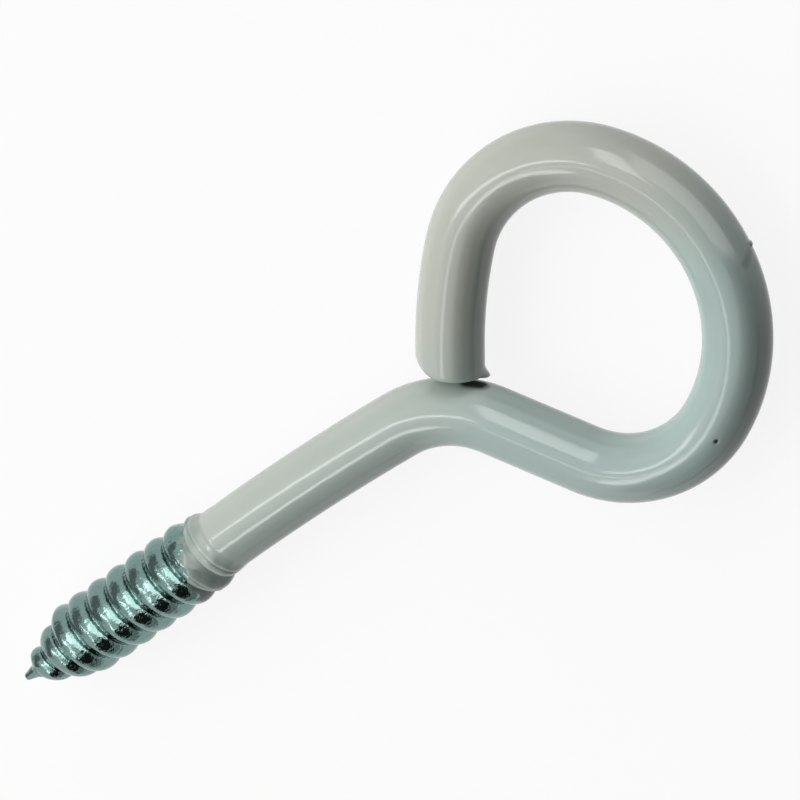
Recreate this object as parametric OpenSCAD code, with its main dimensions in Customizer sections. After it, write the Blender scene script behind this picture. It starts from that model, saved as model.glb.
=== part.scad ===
// Screw eye: one length of steel wire, rolled to a wood thread with a point at one end
// and bent to a closed eye at the other. It lies flat, its shank along X.

/* [Wire] */
// Diameter of the wire with its paint
wire_d = 5; // [4.6:0.1:5.4]
// How much thinner the tight bends draw the wire
bend_thinning = 0.1; // [0.06:0.02:0.2]
// Thickness of the paint
paint_t = 0.1; // [0.05:0.05:0.2]

/* [Thread] */
// Length from the point to the end of the run-out
thread_len = 21.5; // [16:0.1:28]
// Diameter over the crests
thread_d = 6.1; // [5.8:0.1:6.6]
// Diameter at the bottom of the groove
root_d = 4; // [3.4:0.1:4.6]
// Advance of one right-hand turn
pitch = 2; // [1.6:0.1:2.4]
// Angle about the axis at which the crest would stand at the tip
crest_start = 58; // [0:1:360]
// Length over which the point narrows
point_len = 5.8; // [5:0.1:8]
// Diameter that the narrowing crests would have at the tip
cone_d = 1.4; // [1.2:0.1:2]
// Diameter of the bare tip ahead of the first turn
tip_d = 0.8; // [0.6:0.1:1]
// Length of the bare tip
tip_len = 0.9; // [0.5:0.1:1.5]
// Length over which the first turn rises from the tip
start_len = 1; // [0.6:0.1:1.6]
// Length over which crest and groove fade into the shank
runout_len = 3.4; // [2:0.1:4.4]
// Angle by which the thread leans from the start of the shank
thread_lean = 0.5; // [0:0.1:1.5]

/* [Shank] */
// Length of the plain shank, up to the shoulder
shank_len = 16.4; // [8:0.1:40]
// Angle that the shank bows through on its way to the shoulder
shank_bow = 4.7; // [2:0.1:6]

/* [Eye] */
// Centreline radius of the shoulder, where the shank turns away from its axis
shoulder_r = 8.2; // [7.8:0.05:8.6]
// Angle that the shoulder turns through
shoulder_sweep = 52.5; // [51:0.5:54]
// Length of the straight flank after the shoulder
flank_len = 7.1; // [6.5:0.05:7.7]
// Centreline radius of the side of the eye next to the flank
near_r = 7.95; // [7.6:0.05:8.3]
// Angle that this side turns through
near_sweep = 80.5; // [79:0.5:82]
// Centreline radius of the crown, across the eye from the shoulder
crown_r = 12.55; // [12.1:0.05:13]
// Angle that the crown turns through
crown_sweep = 105.5; // [104:0.5:107]
// Centreline radius of the far side of the eye
far_r = 8.75; // [8.4:0.05:9.1]
// Angle that the far side turns through
far_sweep = 90.5; // [89:0.5:92]
// Centreline radius of the slightly bowed leg that closes the eye
leg_r = 36; // [32:0.5:40]
// Angle that the leg turns through before its straight end
leg_sweep = 12.5; // [11:0.5:14]
// Gap left between the free end and the shoulder
end_gap = 0.1; // [0.05:0.05:0.5]
// Radius on the rim of the free end
end_round = 0.6; // [0.2:0.1:1]

/* [Hidden] */
$fn = 64;

wire_r = wire_d / 2;
bend_r = wire_r - bend_thinning / 2;
steel_r = wire_r - paint_t;
// Length by which a run of full diameter reaches into the thinner bend beside it
lap = 0.3;

// Fullness of the crests: 1 is a plain wave, less is fuller, with a sharper groove
crest_power = 0.75;
// Facets of the thread: around the axis and along one pitch
around = 28;
per_pitch = 8;
// Length of thread blank held inside the shank
thread_root_len = 0.5;

// Directions along and to the left of a heading in the plane of the eye
function ahead(a) = [cos(a), sin(a)];
function left(a) = [-sin(a), cos(a)];

// The centreline starts at the thread, heading along X: its headings, bend centres and corners
bow_r = shank_len / shank_bow * 180 / PI;
flank_dir = -shank_bow - shoulder_sweep;
crown_dir = flank_dir + near_sweep;
far_dir = crown_dir + crown_sweep;
leg_dir = far_dir + far_sweep;
end_dir = leg_dir + leg_sweep;
shank_end = bow_r * (left(-shank_bow) - left(0));
shoulder_c = shank_end - shoulder_r * left(-shank_bow);
flank_end = shoulder_c + shoulder_r * left(flank_dir) + flank_len * ahead(flank_dir);
near_c = flank_end + near_r * left(flank_dir);
crown_c = near_c + (crown_r - near_r) * left(crown_dir);
far_c = crown_c + (far_r - crown_r) * left(far_dir);
leg_c = far_c + (leg_r - far_r) * left(leg_dir);
end_start = leg_c - leg_r * left(end_dir);

// The straight end stops where its face comes within end_gap of the shoulder
to_shoulder = shoulder_c - end_start;
rim_offset = max(0, abs(to_shoulder * left(end_dir)) - (bend_r - end_round));
rim_reach = shoulder_r + bend_r + end_gap + end_round;
end_len = to_shoulder * ahead(end_dir) - sqrt(rim_reach ^ 2 - rim_offset ^ 2) + end_round;

// The box of the whole part is centred on the origin and stands on Z = 0
mid_x = (crown_c.x + crown_r + wire_r - thread_len * cos(thread_lean)) / 2;
mid_y = (near_c.y - near_r + far_c.y + far_r) / 2;
axis_z = thread_d / 2;

// Radius of the thread at a distance from the tip and an angle about the axis
groove_depth = (thread_d - root_d) / 2;
function rise(x) = let (t = max(0, min(1, x))) t * t * (3 - 2 * t);
function envelope(s) = min(thread_d, cone_d + (thread_d - cone_d) * s / point_len) / 2;
function tip_r(s) = tip_d / 4 * (1 + rise(s / tip_d * 2));
function core_r(s) = max(tip_r(s), envelope(s) - groove_depth);
function crest_height(s) = max(0, envelope(s) - core_r(s)) * rise((s - tip_len) / start_len);
function faded(r, s) = r + (steel_r - r) * rise(1 - (thread_len - s) / runout_len);
function crest_shape(turns) = abs(cos(180 * turns)) ^ crest_power;
function thread_radius(s, a) =
    faded(core_r(s) + crest_height(s) * crest_shape(s / pitch - (a - crest_start) / 360), s);

// A straight run of wire along X, with what follows it at its far end
module straight(len) {
    translate([-lap, 0, 0]) rotate([0, 90, 0]) cylinder(r = wire_r, h = len + 2 * lap);
    translate([len, 0, 0]) children();
}

// An arc of wire from the origin, turning left (side 1) or right (side -1), with what follows
// it at its far end
module arc(radius, sweep, side, r, over) {
    over_angle = over / radius * 180 / PI;
    translate([0, side * radius, 0]) {
        rotate(side > 0 ? -90 - over_angle : 90 - sweep - over_angle)
            rotate_extrude(angle = sweep + 2 * over_angle) translate([radius, 0]) circle(r = r);
        rotate(side * sweep) translate([0, -side * radius, 0]) children();
    }
}

// A tight bend, drawn thinner
module bend(radius, sweep, side = 1) {
    arc(radius, sweep, side, bend_r, 0) children();
}

// An open bow at full diameter
module bow(radius, sweep, side = 1) {
    arc(radius, sweep, side, wire_r, lap) children();
}

// The straight end of the leg, with the rounded rim of the free end
module free_end() {
    rotate([0, 90, 0]) rotate_extrude() {
        square([bend_r, end_len - end_round]);
        square([bend_r - end_round, end_len]);
        translate([bend_r - end_round, end_len - end_round]) circle(r = end_round);
    }
}

// Right-hand thread and point along X from the tip, as rings of points about the axis
module thread() {
    body_len = thread_len + thread_root_len;
    rings = ceil(body_len / pitch * per_pitch);
    points = [
        for (i = [0:rings], j = [0:around - 1])
            let (s = min(i * pitch / per_pitch, body_len), a = j * 360 / around, r = thread_radius(s, a))
            [s, r * cos(a), r * sin(a)]
    ];
    sides = [
        for (i = [0:rings - 1], j = [0:around - 1])
            let (here = i * around + j, beside = i * around + (j + 1) % around)
            each [[here, here + around, beside + around], [here, beside + around, beside]]
    ];
    tip = [for (j = [0:around - 1]) j];
    back = [for (j = [around - 1:-1:0]) rings * around + j];
    polyhedron(points, concat(sides, [tip, back]));
}

// Wire in its order of bending: thread, shank, shoulder, flank, near side, crown, far side, leg
module screw_eye() {
    color("gainsboro") translate([-mid_x, -mid_y, axis_z]) {
        rotate(-thread_lean) translate([-thread_len, 0, 0]) thread();
        bow(bow_r, shank_bow, -1)
            bend(shoulder_r, shoulder_sweep, -1)
            straight(flank_len)
            bend(near_r, near_sweep)
            bow(crown_r, crown_sweep)
            bend(far_r, far_sweep)
            bow(leg_r, leg_sweep)
            free_end();
    }
}

screw_eye();
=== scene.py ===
import math

import bmesh
import bpy
from mathutils import Matrix, Vector, noise


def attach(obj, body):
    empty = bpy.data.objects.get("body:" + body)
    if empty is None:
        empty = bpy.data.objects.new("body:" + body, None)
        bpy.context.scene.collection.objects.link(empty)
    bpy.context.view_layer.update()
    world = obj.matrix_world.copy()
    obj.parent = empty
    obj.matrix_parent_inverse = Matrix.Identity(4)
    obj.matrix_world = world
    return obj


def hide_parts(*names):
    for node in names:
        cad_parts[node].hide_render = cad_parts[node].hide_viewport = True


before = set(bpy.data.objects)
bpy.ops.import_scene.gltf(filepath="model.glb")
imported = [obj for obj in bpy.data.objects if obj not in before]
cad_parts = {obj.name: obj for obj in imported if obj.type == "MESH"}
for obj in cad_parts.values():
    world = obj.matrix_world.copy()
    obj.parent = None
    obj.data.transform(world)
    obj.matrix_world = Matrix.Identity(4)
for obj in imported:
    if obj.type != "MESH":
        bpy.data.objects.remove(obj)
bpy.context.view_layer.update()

print("frame loaded")

# wire of the shank and eye, in millimetres; the mesh goes to metres when it is whole
wire = dict(
    diameter=5.0,
    shankLength=16.4,
    shankBow=4.7,  # degrees that the shank bows through
    shoulderRadius=8.2,
    shoulderSweep=52.5,
    flankLength=7.1,
    nearRadius=7.95,
    nearSweep=80.5,
    crownRadius=12.55,
    crownSweep=105.5,
    farRadius=8.75,
    farSweep=90.5,
    legRadius=36.0,
    legSweep=12.5,
    endLength=2.0,
    threadPlace=(-12.431, 2.361, 3.05),  # where the thread meets the shank, on the middle of the wire
    around=96,
    ringStep=0.35,
)


def along(heading):
    return Vector((math.cos(math.radians(heading)), math.sin(math.radians(heading)), 0))


def leftOf(heading):
    return along(heading + 90)


def towards(bearing, height):
    up = math.radians(height)
    return along(bearing) * math.cos(up) + Vector((0, 0, math.sin(up)))


def middleOf(verts):
    return sum((v.co for v in verts), Vector()) / len(verts)


def ringOf(grown):
    verts = [g for g in grown if isinstance(g, bmesh.types.BMVert)]
    kept = set(verts)
    edges = [g for g in grown if isinstance(g, bmesh.types.BMEdge) and set(g.verts) <= kept]
    return verts, edges


def pushRing(bm, edges, step):
    verts, edges = ringOf(bmesh.ops.extrude_edge_only(bm, edges=edges)["geom"])
    bmesh.ops.translate(bm, vec=step, verts=verts)
    return verts, edges


def drawStraight(bm, ring, heading, length):
    verts, edges = ring
    count = max(1, round(length / wire["ringStep"]))
    for _ in range(count):
        verts, edges = pushRing(bm, edges, along(heading) * (length / count))
    return verts, edges


def drawBend(bm, ring, heading, radius, sweep):  # a positive sweep turns left
    verts, edges = ring
    centre = middleOf(verts) + leftOf(heading) * math.copysign(radius, sweep)
    count = max(2, round(radius * math.radians(abs(sweep)) / wire["ringStep"]))
    last = bmesh.ops.spin(
        bm, geom=verts + edges, cent=centre, axis=(0, 0, 1), dvec=(0, 0, 0),
        angle=math.radians(sweep), steps=count, use_merge=False, use_duplicate=False,
    )["geom_last"]
    return ringOf(last), heading + sweep


def startRing(bm):  # where the thread meets the plain shank
    faceOn = Matrix.Translation(wire["threadPlace"]) @ Matrix.Rotation(math.radians(90), 4, "Y")
    bmesh.ops.create_circle(
        bm, cap_ends=False, segments=wire["around"], radius=wire["diameter"] / 2, matrix=faceOn
    )
    return bm.verts[:], bm.edges[:]


def bendWire(bm):
    bowRadius = wire["shankLength"] / math.radians(wire["shankBow"])
    ring, heading = drawBend(bm, startRing(bm), 0.0, bowRadius, -wire["shankBow"])
    ring, heading = drawBend(bm, ring, heading, wire["shoulderRadius"], -wire["shoulderSweep"])
    ring = drawStraight(bm, ring, heading, wire["flankLength"])
    for part in ("near", "crown", "far", "leg"):
        ring, heading = drawBend(bm, ring, heading, wire[part + "Radius"], wire[part + "Sweep"])
    return ring, heading


# sheared free end of the leg
cutEnd = dict(
    step=0.05,
    rollover=1.9,  # soft corner on the outer side of the eye
    sharp=0.22,  # crisp corner on the inner side
    burr=0.5,  # nib left by the shears on the inner side, a little below the middle
    burrDip=-18,
    burrEdge=0.86,  # cosine of the angle at which the nib fades out
    burrLean=0.35,
    burrReach=0.75,
    faceRings=(0.9, 0.8, 0.75, 0.66, 0.5, 0.01),  # each ring of the cut face by the one before
    faceGrain=1.7,
    faceRough=0.06,
)


def finishLeg(bm, ring, heading):
    ahead = along(heading)
    inner = leftOf(heading)  # towards the middle of the eye
    burrWay = towards(heading + 90, cutEnd["burrDip"])
    radius = wire["diameter"] / 2
    verts, edges = ring
    end = middleOf(verts) + ahead * wire["endLength"]
    count = round(wire["endLength"] / cutEnd["step"])
    rings = []
    for _ in range(count):
        verts, edges = pushRing(bm, edges, ahead * (wire["endLength"] / count))
        rings.append(verts)
    for v in [v for row in rings for v in row]:
        back = max(0.0, (end - v.co).dot(ahead))
        axis = end - ahead * back
        out = (v.co - axis).normalized()
        side = out.dot(inner)
        soft = 0.5 - 0.5 * side
        rim = cutEnd["sharp"] + (cutEnd["rollover"] - cutEnd["sharp"]) * soft * soft
        if back < rim:
            v.co = axis + out * (radius - rim + math.sqrt(max(0.0, rim * rim - (rim - back) ** 2)))
        nib = max(0.0, out.dot(burrWay) - cutEnd["burrEdge"]) / (1 - cutEnd["burrEdge"])
        pull = nib * max(0.0, 1 - back / cutEnd["burrReach"])
        v.co += (out + ahead * cutEnd["burrLean"]) * cutEnd["burr"] * pull * pull
    # cut face, drawn in to its middle
    for shrink in cutEnd["faceRings"]:
        verts, edges = pushRing(bm, edges, Vector())
        middle = middleOf(verts)
        for v in verts:
            v.co = middle + (v.co - middle) * shrink
            v.co += ahead * noise.noise(v.co * cutEnd["faceGrain"]) * cutEnd["faceRough"]
    bmesh.ops.pointmerge(bm, verts=verts, merge_co=middle)


# right-hand wood thread and its gimlet point
thread = dict(
    length=21.5,
    crestDiameter=6.1,
    rootDiameter=4.5,
    pitch=2.0,
    crestStart=58,  # bearing about the axis at which the crest would stand at the tip
    pointLength=5.8,
    coneDiameter=1.4,  # of the narrowing crests, at the tip
    tipDiameter=1.1,
    tipTaper=0.28,
    tipReach=3.0,  # the core of the point widens up to here
    tipLength=0.9,
    tipRings=(0.8, 0.5, 0.01),  # the blunt end, each ring by the one before
    tipStep=0.03,
    startLength=1.0,  # the first turn rises over this
    runout=3.4,
    lean=0.5,
    crestPower=0.5,  # less is fuller crests and a sharper groove
    ringsPerPitch=32,
    waver=0.03,  # slight unevenness, which fades in from the tip and out at the shank
    waverIn=3.0,
    waverOut=2.0,
    waverAround=2.0,
    crinkle=0.06,  # paint wrinkled over the run-out, places from the tip
    crinkleFrom=17.2,
    crinkleFade=1.2,
    crinkleTo=21.3,
    crinkleLine=0.14,
    dentAlong=1.6,
    dentAround=3.0,
)
tipX = wire["threadPlace"][0] - thread["length"]


def rise(x):
    x = max(0.0, min(1.0, x))
    return x * x * (3 - 2 * x)


def crestShape(s, angle):  # 0 in the groove, 1 on the crest
    turns = s / thread["pitch"] - (angle - math.radians(thread["crestStart"])) / math.tau
    return abs(math.cos(math.pi * turns)) ** thread["crestPower"]


def threadRadius(s, angle):
    crest = thread["crestDiameter"]
    narrow = thread["coneDiameter"] + (crest - thread["coneDiameter"]) * s / thread["pointLength"]
    envelope = min(crest, narrow) / 2
    tip = thread["tipDiameter"] / 4 + thread["tipTaper"] * min(s, thread["tipReach"])
    core = max(tip, envelope - (crest - thread["rootDiameter"]) / 2)
    height = max(0.0, envelope - core) * rise((s - thread["tipLength"]) / thread["startLength"])
    radius = core + height * crestShape(s, angle)
    faded = rise(1 - (thread["length"] - s) / thread["runout"])
    return radius + (wire["diameter"] / 2 - radius) * faded


def noiseAround(s, angle, width):  # closes on itself around the axis
    return noise.noise(Vector((s, width * math.cos(angle), width * math.sin(angle))))


def crinkled(s, angle):  # fine lines along the helix and small dents
    zone = rise((s - thread["crinkleFrom"]) / thread["crinkleFade"]) * rise(thread["crinkleTo"] - s)
    if zone == 0:
        return 0.0
    turns = s / thread["pitch"] - angle / math.tau
    line = max(0.0, 1 - abs((2 * turns) % 1.0 - 0.5) / thread["crinkleLine"])
    dents = noiseAround(s * thread["dentAlong"], angle, thread["dentAround"])
    return thread["crinkle"] * zone * (dents - line)


def rollThread(bm):
    place = Vector(wire["threadPlace"])
    verts, edges = startRing(bm)
    shankEnd = set(verts)
    count = round(thread["length"] / thread["pitch"] * thread["ringsPerPitch"])
    for _ in range(count):
        verts, edges = pushRing(bm, edges, Vector((-thread["length"] / count, 0, 0)))
        for v in verts:
            s = v.co.x - tipX
            angle = math.atan2(v.co.z - place.z, v.co.y - place.y)
            radius = threadRadius(s, angle)
            fade = min(1.0, s / thread["waverIn"])
            fade *= min(1.0, (thread["length"] - s) / thread["waverOut"])
            radius += thread["waver"] * fade * noiseAround(s, angle, thread["waverAround"])
            radius += crinkled(s, angle)
            v.co.y = place.y + radius * math.cos(angle)
            v.co.z = place.z + radius * math.sin(angle)
    tip = middleOf(verts)
    step = Vector((-thread["tipStep"], 0, 0))
    for shrink in thread["tipRings"]:
        verts, edges = pushRing(bm, edges, step)
        for v in verts:
            v.co = tip + (v.co - tip) * shrink
    bmesh.ops.pointmerge(bm, verts=verts, merge_co=tip + step * 2)
    lean = Matrix.Rotation(math.radians(-thread["lean"]), 3, "Z")
    bmesh.ops.rotate(bm, cent=place, matrix=lean, verts=[v for v in bm.verts if v not in shankEnd])


# dark marks, each along a short line: a chip and a pinhole in the paint, a dark streak from the chip,
# and painted shadow in the gap under the free end; places, reach and depth in millimetres
marks = dict(
    chip=dict(start=(33.62, -2.27, 2.5), end=(33.66, -2.25, 2.9), reach=0.3, depth=-0.12, dark=0.5),
    streak=dict(start=(33.6, -2.5, 3.4), end=(33.0, -3.1, 4.4), reach=0.5, depth=0.0, dark=0.3),
    pinhole=dict(
        start=(23.77, -12.05, 5.36), end=(23.8, -12.05, 5.36), reach=0.27, depth=0.06, dark=1.0
    ),
    # painted shadow: the dark gap between the free end and the shoulder, put into the paint colour,
    # with no dent
    creviceShadow=dict(start=(10.4, 1.3, 3.6), end=(11.2, 0.55, 3.5), reach=0.8, depth=0.0, dark=0.95),
)
marking = dict(room=0.5, cuts=4, dentEdge=1.5, soilAndShadeEdge=1.4)  # finer mesh around, firmness of edges


def nearMark(p, mark):  # 1 in the middle of the mark, 0 beyond its reach
    start = Vector(mark["start"])
    run = Vector(mark["end"]) - start
    share = max(0.0, min(1.0, (p - start).dot(run) / run.length_squared))
    return max(0.0, 1 - (p - start - run * share).length / mark["reach"])


def dentMarks(bm):
    for mark in marks.values():
        wider = dict(mark, reach=mark["reach"] + marking["room"])
        edges = [e for e in bm.edges if any(nearMark(v.co, wider) > 0 for v in e.verts)]
        bmesh.ops.subdivide_edges(bm, edges=edges, cuts=marking["cuts"], use_grid_fill=True)
    bm.normal_update()
    for mark in marks.values():
        for v in bm.verts:
            deep = rise(nearMark(v.co, mark) * marking["dentEdge"])
            if deep > 0:
                v.co -= v.normal * deep * mark["depth"]


threadBm = bmesh.new()
rollThread(threadBm)
mesh = bpy.data.meshes.new("screw_eye_wire")
threadBm.to_mesh(mesh)
threadBm.free()
print("thread rolled,", len(mesh.vertices), "points")
bm = bmesh.new()
ring, heading = bendWire(bm)
print("wire bent,", len(bm.verts), "points")
finishLeg(bm, ring, heading)
bm.from_mesh(mesh)
bmesh.ops.remove_doubles(bm, verts=bm.verts[:], dist=0.0005)
bmesh.ops.recalc_face_normals(bm, faces=bm.faces[:])
dentMarks(bm)
bmesh.ops.scale(bm, vec=(0.001, 0.001, 0.001), verts=bm.verts[:])
bm.to_mesh(mesh)
bm.free()
mesh.shade_smooth()
eye = bpy.data.objects.new("screw_eye_wire", mesh)
bpy.context.collection.objects.link(eye)
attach(eye, "root")
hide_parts("screw_eye")
print("screw eye modelled,", len(mesh.polygons), "faces")

# where the paint ends on the thread, in millimetres
paintEdge = dict(
    middle=-15.85,
    lean=0.52,
    waver=0.5,
    waverScale=0.9,
    waverStretch=0.5,
    inGroove=0.5,  # the paint reaches this much further along the groove
    clear=1.0,  # all paint from here on, past the start of the shank
    farthest=2.0,
)


def markPaint(mesh):
    place = Vector(wire["threadPlace"])
    cover = mesh.attributes.new("paintCover", "FLOAT", "POINT")
    soilAndShade = mesh.attributes.new("soilAndShade", "FLOAT", "POINT")
    farthest = paintEdge["farthest"]
    for v in mesh.vertices:
        p = v.co * 1000
        # darkness of the marks: chip and pinhole in the paint, the streak, and painted shadow in the
        # crevice under the free end
        soilAndShade.data[v.index].value = max(
            rise(marking["soilAndShadeEdge"] * nearMark(p, mark)) * mark["dark"] for mark in marks.values()
        )
        if p.x > place.x + paintEdge["clear"]:
            cover.data[v.index].value = farthest
            continue
        angle = math.atan2(p.z - place.z, p.y - place.y)
        edge = paintEdge["middle"] + paintEdge["lean"] * (p.y - place.y)
        spot = Vector((p.x * paintEdge["waverStretch"], p.y, p.z)) * paintEdge["waverScale"]
        edge += paintEdge["waver"] * noise.noise(spot)
        edge -= paintEdge["inGroove"] * (1 - crestShape(p.x - tipX, angle))
        cover.data[v.index].value = max(-farthest, min(farthest, p.x - edge))


markPaint(mesh)


def srgb(r, g, b):
    def lin(c):
        c /= 255
        return c / 12.92 if c <= 0.04045 else ((c + 0.055) / 1.055) ** 2.4
    return (lin(r), lin(g), lin(b), 1.0)


class Nodes:
    def __init__(self, material):
        material.use_nodes = True
        self.tree = material.node_tree
        self.tree.nodes.clear()

    def add(self, kind, **settings):
        node = self.tree.nodes.new(kind)
        for name, value in settings.items():
            setattr(node, name, value)
        return node

    def link(self, a, b):
        self.tree.links.new(a, b)

    def noiseAt(self, point, scale, detail):
        node = self.add("ShaderNodeTexNoise")
        node.inputs["Scale"].default_value = scale
        node.inputs["Detail"].default_value = detail
        self.link(point, node.inputs["Vector"])
        return node.outputs["Fac"]

    def mixTones(self, share, first, second):  # each a colour, or what another node gives
        node = self.add("ShaderNodeMix", data_type="RGBA")
        self.link(share, node.inputs[0])
        for tone, socket in ((first, node.inputs[6]), (second, node.inputs[7])):
            if isinstance(tone, tuple):
                socket.default_value = srgb(*tone)
            else:
                self.link(tone, socket)
        return node.outputs[2]

    def spread(self, value, ends, to=(0.0, 1.0), kind="LINEAR"):
        node = self.add("ShaderNodeMapRange", interpolation_type=kind)
        node.inputs["From Min"].default_value, node.inputs["From Max"].default_value = ends
        node.inputs["To Min"].default_value, node.inputs["To Max"].default_value = to
        self.link(value, node.inputs["Value"])
        return node.outputs[0]


# white paint over zinc: places in millimetres, noise as scale and detail, bumps in metres
finish = dict(
    paintWarm=(196, 200, 190),
    paintCool=(180, 199, 194),
    warmToCool=(6.0, -2.0),  # across the eye
    # thin paint over the thread's run-out, darkened further as painted groove shade
    paintThinAndShade=(150, 166, 159),
    thinAndShadeZone=(0.6, 2.0),  # from the edge of the paint
    thinAndShadeShare=0.75,
    # dark tone of the marks, also used for the painted shadow in the crevice
    soilAndShade=(44, 54, 52),
    paintRoughness=0.12,
    ripple=(0.7, 2.0),
    rippleBump=0.00002,
    rippleShare=0.6,
    ragged=(1.6, 3.0),
    raggedReach=0.7,
    raggedEdge=(-0.08, 0.08),
    zinc=(130, 156, 152),
    zincDark=(108, 135, 130),
    zincRoughness=0.12,
    zincGrain=(2.2, 4.0),
    plate=(3.2, 3.0),
    plateBump=0.000045,
)


def wireFinish():
    material = bpy.data.materials.new("paintedWire")
    n = Nodes(material)
    out = n.add("ShaderNodeOutputMaterial")
    shader = n.add("ShaderNodeBsdfPrincipled")
    n.link(shader.outputs["BSDF"], out.inputs["Surface"])
    place = n.add("ShaderNodeTexCoord")
    mm = n.add("ShaderNodeMapping")
    mm.inputs["Scale"].default_value = (1000, 1000, 1000)
    n.link(place.outputs["Object"], mm.inputs["Vector"])
    point = mm.outputs["Vector"]

    # paint and bare zinc, parted by a ragged edge
    cover = n.add("ShaderNodeAttribute", attribute_name="paintCover").outputs["Fac"]
    shift = n.add("ShaderNodeMath", operation="MULTIPLY_ADD")
    shift.inputs[1].default_value = 2 * finish["raggedReach"]
    shift.inputs[2].default_value = -finish["raggedReach"]
    n.link(n.noiseAt(point, *finish["ragged"]), shift.inputs[0])
    total = n.add("ShaderNodeMath", operation="ADD")
    n.link(cover, total.inputs[0])
    n.link(shift.outputs[0], total.inputs[1])
    painted = n.spread(total.outputs[0], finish["raggedEdge"], kind="SMOOTHSTEP")

    # paint goes from warm to cool across the eye; near where it runs out it is thin and greyer,
    # darkened further as painted groove shade; it is dark in the marks, with painted shadow in the
    # crevice under the free end
    across = n.add("ShaderNodeSeparateXYZ")
    n.link(point, across.inputs[0])
    drift = n.spread(across.outputs["Y"], finish["warmToCool"])
    paintTone = n.mixTones(drift, finish["paintWarm"], finish["paintCool"])
    # greyer near the edge of the paint: thin paint, and painted shade from the grooves
    thinAndShade = n.spread(cover, finish["thinAndShadeZone"], to=(finish["thinAndShadeShare"], 0.0), kind="SMOOTHSTEP")
    paintTone = n.mixTones(thinAndShade, paintTone, finish["paintThinAndShade"])
    # darkens the paint in the marks; in the crevice this is painted shadow
    soilAndShade = n.add("ShaderNodeAttribute", attribute_name="soilAndShade").outputs["Fac"]
    paintTone = n.mixTones(soilAndShade, paintTone, finish["soilAndShade"])
    grain = n.noiseAt(point, *finish["zincGrain"])
    zincTone = n.mixTones(grain, finish["zincDark"], finish["zinc"])
    n.link(n.mixTones(painted, zincTone, paintTone), shader.inputs["Base Color"])

    metal = n.add("ShaderNodeMath", operation="SUBTRACT")
    metal.inputs[0].default_value = 1.0
    n.link(painted, metal.inputs[1])
    n.link(metal.outputs[0], shader.inputs["Metallic"])
    rough = n.spread(painted, (0.0, 1.0), to=(finish["zincRoughness"], finish["paintRoughness"]))
    n.link(rough, shader.inputs["Roughness"])

    # plated grain on the zinc, a faint ripple in the paint
    zincBump = n.add("ShaderNodeBump")
    zincBump.inputs["Distance"].default_value = finish["plateBump"]
    n.link(n.noiseAt(point, *finish["plate"]), zincBump.inputs["Height"])
    n.link(metal.outputs[0], zincBump.inputs["Strength"])
    paintBump = n.add("ShaderNodeBump")
    paintBump.inputs["Distance"].default_value = finish["rippleBump"]
    paintBump.inputs["Strength"].default_value = finish["rippleShare"]
    n.link(n.noiseAt(point, *finish["ripple"]), paintBump.inputs["Height"])
    n.link(zincBump.outputs["Normal"], paintBump.inputs["Normal"])
    n.link(paintBump.outputs["Normal"], shader.inputs["Normal"])
    return material


eye.data.materials.append(wireFinish())
print("finish made")

# plain pale floor, seen white, with the shadow at part strength
stand = dict(size=3.0, seenTone=(250, 250, 250), bounceTone=(130, 132, 132), shadow=0.12)
# cards that only gloss shows, by compass bearing and height in degrees
cardFan = dict(reach=1.0, rows=8, columns=24)
cards = dict(
    black=dict(bearings=(-140, -22), heights=(18, 60), glow=0.02),
    blackLow=dict(bearings=(-128, -28), heights=(0, 14), glow=0.3),
    front=dict(bearings=(-18, 38), heights=(14, 62), glow=3.0),
    dimSide=dict(bearings=(75, 175), heights=(0, 40), glow=0.3),
    top=dict(bearings=(20, 178), heights=(66, 87), glow=1.5),
)


def seenRays(n):  # 1 for what the camera, gloss or glass shows
    rays = n.add("ShaderNodeLightPath")
    seen = n.add("ShaderNodeMath", operation="MAXIMUM")
    n.link(rays.outputs["Is Camera Ray"], seen.inputs[0])
    n.link(rays.outputs["Is Glossy Ray"], seen.inputs[1])
    both = n.add("ShaderNodeMath", operation="MAXIMUM")
    n.link(seen.outputs[0], both.inputs[0])
    n.link(rays.outputs["Is Transmission Ray"], both.inputs[1])
    return both.outputs[0]


def stageObject(name, bm):
    mesh = bpy.data.meshes.new(name)
    bm.to_mesh(mesh)
    bm.free()
    thing = bpy.data.objects.new(name, mesh)
    bpy.context.collection.objects.link(thing)
    return thing


def layFloor():
    bm = bmesh.new()
    bmesh.ops.create_grid(bm, x_segments=4, y_segments=4, size=stand["size"])
    floor = stageObject("floor", bm)
    material = bpy.data.materials.new("floorPaper")
    n = Nodes(material)
    out = n.add("ShaderNodeOutputMaterial")
    seen = seenRays(n)
    paper = n.add("ShaderNodeBsdfDiffuse")
    n.link(n.mixTones(seen, stand["bounceTone"], stand["seenTone"]), paper.inputs["Color"])
    white = n.add("ShaderNodeEmission")
    share = n.add("ShaderNodeMath", operation="MULTIPLY")
    share.inputs[1].default_value = 1 - stand["shadow"]
    n.link(seen, share.inputs[0])
    mix = n.add("ShaderNodeMixShader")
    n.link(share.outputs[0], mix.inputs[0])
    n.link(paper.outputs[0], mix.inputs[1])
    n.link(white.outputs[0], mix.inputs[2])
    n.link(mix.outputs[0], out.inputs["Surface"])
    floor.data.materials.append(material)


def cardTone(name, glow):
    material = bpy.data.materials.new(name)
    n = Nodes(material)
    out = n.add("ShaderNodeOutputMaterial")
    tone = n.add("ShaderNodeEmission")
    tone.inputs["Strength"].default_value = glow
    n.link(tone.outputs[0], out.inputs["Surface"])
    return material


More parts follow.
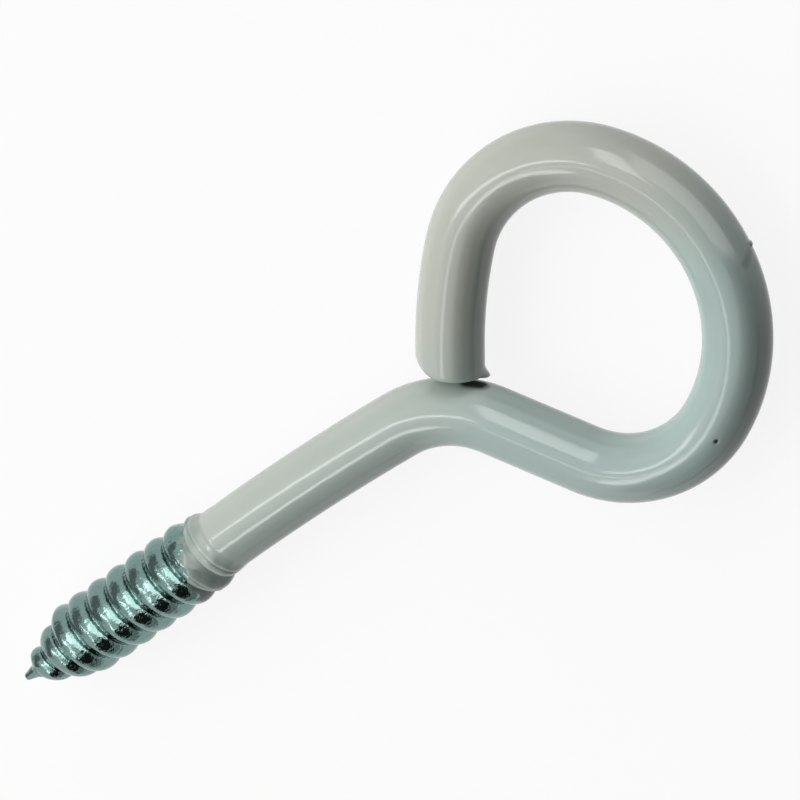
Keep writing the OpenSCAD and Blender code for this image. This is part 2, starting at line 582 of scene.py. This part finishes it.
def hangCards():
    for name, spec in cards.items():
        bm = bmesh.new()
        low, high = spec["heights"]
        first, last = spec["bearings"]
        foot = bm.verts.new(towards(first, low) * cardFan["reach"])
        bmesh.ops.spin(
            bm, geom=[foot], cent=(0, 0, 0), axis=along(first - 90), dvec=(0, 0, 0),
            angle=math.radians(high - low), steps=cardFan["rows"], use_merge=False, use_duplicate=False,
        )
        bmesh.ops.spin(
            bm, geom=bm.verts[:] + bm.edges[:], cent=(0, 0, 0), axis=(0, 0, 1), dvec=(0, 0, 0),
            angle=math.radians(last - first), steps=cardFan["columns"], use_merge=False,
            use_duplicate=False,
        )
        card = stageObject(name + "Card", bm)
        card.visible_camera = False
        card.visible_diffuse = False
        card.visible_shadow = False
        card.data.materials.append(cardTone(name, spec["glow"]))


layFloor()
hangCards()

# lamps by compass bearing and height in degrees, sizes in metres, all at one distance;
# each lights the surface or shows in its gloss
lampReach = 0.4
lamps = dict(
    keyUpper=dict(bearing=108, height=44, size=(0.40, 0.30), glow=2.25, inGloss=False),
    keyLeft=dict(bearing=178, height=45, size=(0.40, 0.30), glow=2.6, inGloss=False),
    sideLow=dict(bearing=55, height=14, size=(0.30, 0.14), glow=4.0, inGloss=False),
    stripUpper=dict(bearing=139, height=64, size=(0.045, 0.21), glow=5.5, inGloss=True),
    stripLower=dict(bearing=-147, height=59, size=(0.045, 0.17), glow=5.5, inGloss=True),
    stripCorner=dict(bearing=-163, height=71, size=(0.05, 0.04), glow=3.5, inGloss=True),
    windowBand=dict(bearing=48, height=54, size=(0.075, 0.26), glow=4.0, inGloss=True),
)


def hangLamps():
    for name, spec in lamps.items():
        light = bpy.data.lights.new(name, "AREA")
        light.shape = "RECTANGLE"
        light.size, light.size_y = spec["size"]
        light.energy = spec["glow"] * math.pi * light.size * light.size_y
        lamp = bpy.data.objects.new(name, light)
        bpy.context.collection.objects.link(lamp)
        away = towards(spec["bearing"], spec["height"])
        lamp.location = away * lampReach
        lamp.rotation_euler = away.to_track_quat("Z", "Y").to_euler()
        lamp.visible_glossy = spec["inGloss"]
        lamp.visible_diffuse = not spec["inGloss"]


hangLamps()

# white room to look at, dimmer as a light
room = dict(seen=1.0, light=0.03)
sky = bpy.data.worlds.new("studio")
bpy.context.scene.world = sky
n = Nodes(sky)
out = n.add("ShaderNodeOutputWorld")
air = n.add("ShaderNodeBackground")
air.inputs["Color"].default_value = (1, 1, 1, 1)
level = n.spread(seenRays(n), (0.0, 1.0), to=(room["light"], room["seen"]))
n.link(level, air.inputs["Strength"])
n.link(air.outputs[0], out.inputs["Surface"])
print("stage lit")

# camera as the photograph was taken: place, lens and sensor in millimetres, turn in degrees
shot = dict(
    place=(126.955, 16.697, 264.66), turn=(-17.626, 18.163, -39.187), lens=180.0, sensor=36.0
)
lens = bpy.data.cameras.new("shot")
lens.lens = shot["lens"]
lens.sensor_width = shot["sensor"]
lens.clip_start = 0.01
camera = bpy.data.objects.new("shot", lens)
camera.location = Vector(shot["place"]) * 0.001
camera.rotation_euler = [math.radians(a) for a in shot["turn"]]
bpy.context.collection.objects.link(camera)
bpy.context.scene.camera = camera
bpy.context.scene.view_settings.view_transform = "Standard"

print("scene ready")
